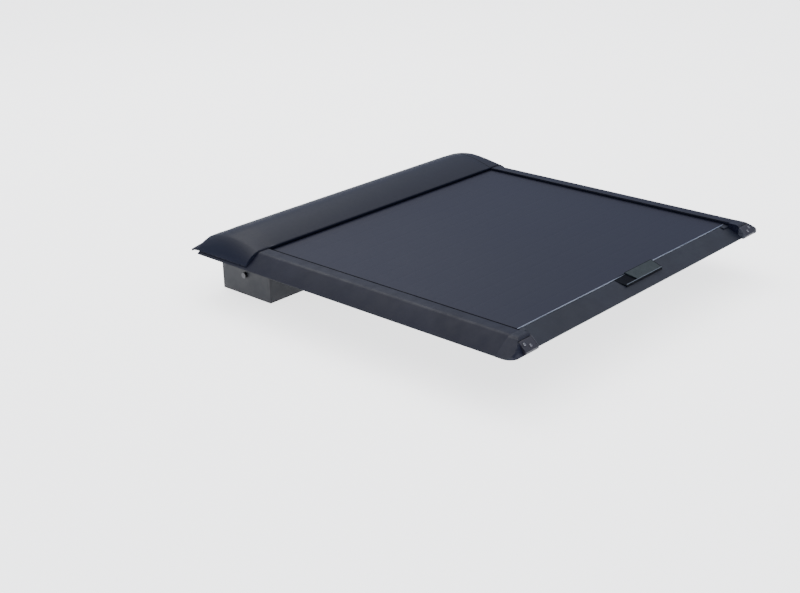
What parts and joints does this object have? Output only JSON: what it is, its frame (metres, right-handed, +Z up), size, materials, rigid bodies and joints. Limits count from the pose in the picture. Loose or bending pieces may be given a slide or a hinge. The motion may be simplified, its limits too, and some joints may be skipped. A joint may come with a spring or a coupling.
{
  "type": "retractable tonneau cover",
  "caption": "Roller tonneau cover for a pickup bed: slat curtain in drape-over side rails, winding onto a sprung tube under a domed canister lid, with a sloped latching rear bar.",
  "frame": {"origin": "on the centreline, on the underside of the canister's front flange, where it rests on the top of the bed's front bulkhead; Z = 0 is also the top plane of the bed rails", "axes": "+X to the truck's right, +Y forward to the cab, +Z up; the cover is drawn closed"},
  "size_m": [1.51, 1.499, 0.253],
  "materials": {
    "powder_coat": "fine satin powder coat, near black",
    "lid_plastic": "fine-grained moulded plastic, near black",
    "curtain_skin": "smooth satin laminate, dark blue-grey",
    "bar_coat": "satin powder coat, near black",
    "bright_edge": "dark brushed anodised edge",
    "moulded_black": "moulded plastic, satin",
    "paddle": "satin grey plastic",
    "seal_rubber": "matt",
    "zinc_steel": "zinc plated",
    "mill_aluminium": "extruded, mill finish",
    "liner": "low-friction plastic, matt",
    "leader_film": "woven leader cloth",
    "webbing": "woven webbing"
  },
  "bodies": {
    "frame": {"side_rail_left": "powder_coat", "track_liner_left": "liner", "rail_seal_left": "seal_rubber", "rail_end_cap_left": "moulded_black", "strike_plate_left": "zinc_steel", "corner_bracket_left": "moulded_black", "bracket_screw_left_upper": "zinc_steel", "bracket_screw_left_lower": "zinc_steel", "canister_end_left": "powder_coat", "rail_clamp_left_front": "mill_aluminium", "clamp_bolt_left_front": "zinc_steel", "rail_clamp_left_rear": "mill_aluminium", "clamp_bolt_left_rear": "zinc_steel", "side_rail_right": "powder_coat", "track_liner_right": "liner", "rail_seal_right": "seal_rubber", "rail_end_cap_right": "moulded_black", "strike_plate_right": "zinc_steel", "corner_bracket_right": "moulded_black", "bracket_screw_right_upper": "zinc_steel", "bracket_screw_right_lower": "zinc_steel", "canister_end_right": "powder_coat", "rail_clamp_right_front": "mill_aluminium", "clamp_bolt_right_front": "zinc_steel", "rail_clamp_right_rear": "mill_aluminium", "clamp_bolt_right_rear": "zinc_steel", "canister_body": "powder_coat", "canister_lid": "lid_plastic", "mouth_seal": "seal_rubber", "bulkhead_seal": "seal_rubber", "roller_shaft": "zinc_steel", "drum_bush_right": "liner", "spring_spindle": "zinc_steel"},
    "drum": {"winding_tube": "mill_aluminium", "drum_plug_left": "moulded_black", "drum_plug_right": "moulded_black", "wound_leader": "leader_film", "torsion_spring": "zinc_steel"},
    "guide_roller": {"guide_roller": "mill_aluminium"},
    "curtain": {"slat_curtain": "curtain_skin", "curtain_leader": "leader_film", "rear_bar": "bar_coat", "rear_trim": "bright_edge", "tailgate_seal": "seal_rubber", "bar_end_left": "moulded_black", "bar_end_right": "moulded_black", "handle_housing": "moulded_black", "paddle_pin": "zinc_steel", "crank_pivot": "zinc_steel", "pull_strap": "webbing"},
    "paddle": {"handle_paddle": "paddle"},
    "crank": {"latch_crank": "zinc_steel", "crank_return_spring": "zinc_steel"},
    "latch_left": {"latch_rod_left": "zinc_steel", "latch_bolt_left": "zinc_steel"},
    "latch_right": {"latch_rod_right": "zinc_steel", "latch_bolt_right": "zinc_steel"}
  },
  "joints": [
    {"name": "curtain_slide", "type": "slide", "parent": "frame", "child": "curtain", "axis": [0, 1, 0], "range_m": [0, 1.09], "deforming": ["slat_curtain", "curtain_leader"]},
    {"name": "drum_spin", "type": "hinge", "parent": "frame", "child": "drum", "pos_m": [0, -0.15, -0.085], "axis": [-1, 0, 0], "range_deg": [0, 1230]},
    {"name": "roller_spin", "type": "hinge", "parent": "frame", "child": "guide_roller", "pos_m": [0, -0.262, 0.02], "axis": [-1, 0, 0], "range_deg": [0, 5210]},
    {"name": "paddle_lift", "type": "hinge", "parent": "curtain", "child": "paddle", "pos_m": [0.13, -1.41115, 0.03751], "axis": [0, 0.9397, 0.342], "range_deg": [0, 30]},
    {"name": "crank_turn", "type": "hinge", "parent": "curtain", "child": "crank", "pos_m": [0.015, -1.403, 0.0095], "axis": [0, 1, 0], "range_deg": [0, 42]},
    {"name": "latch_left_slide", "type": "slide", "parent": "curtain", "child": "latch_left", "axis": [1, 0, 0], "range_m": [0, 0.0095]},
    {"name": "latch_right_slide", "type": "slide", "parent": "curtain", "child": "latch_right", "axis": [-1, 0, 0], "range_m": [0, 0.0095]}
  ],
  "couplings": [
    {"joint": "drum_spin", "follows": "curtain_slide", "rad_per_m": 19.6},
    {"joint": "roller_spin", "follows": "curtain_slide", "rad_per_m": 83.33},
    {"joint": "crank_turn", "follows": "paddle_lift", "ratio": 1.4},
    {"joint": "latch_left_slide", "follows": "paddle_lift", "m_per_rad": 0.01795},
    {"joint": "latch_right_slide", "follows": "paddle_lift", "m_per_rad": 0.01795}
  ]
}
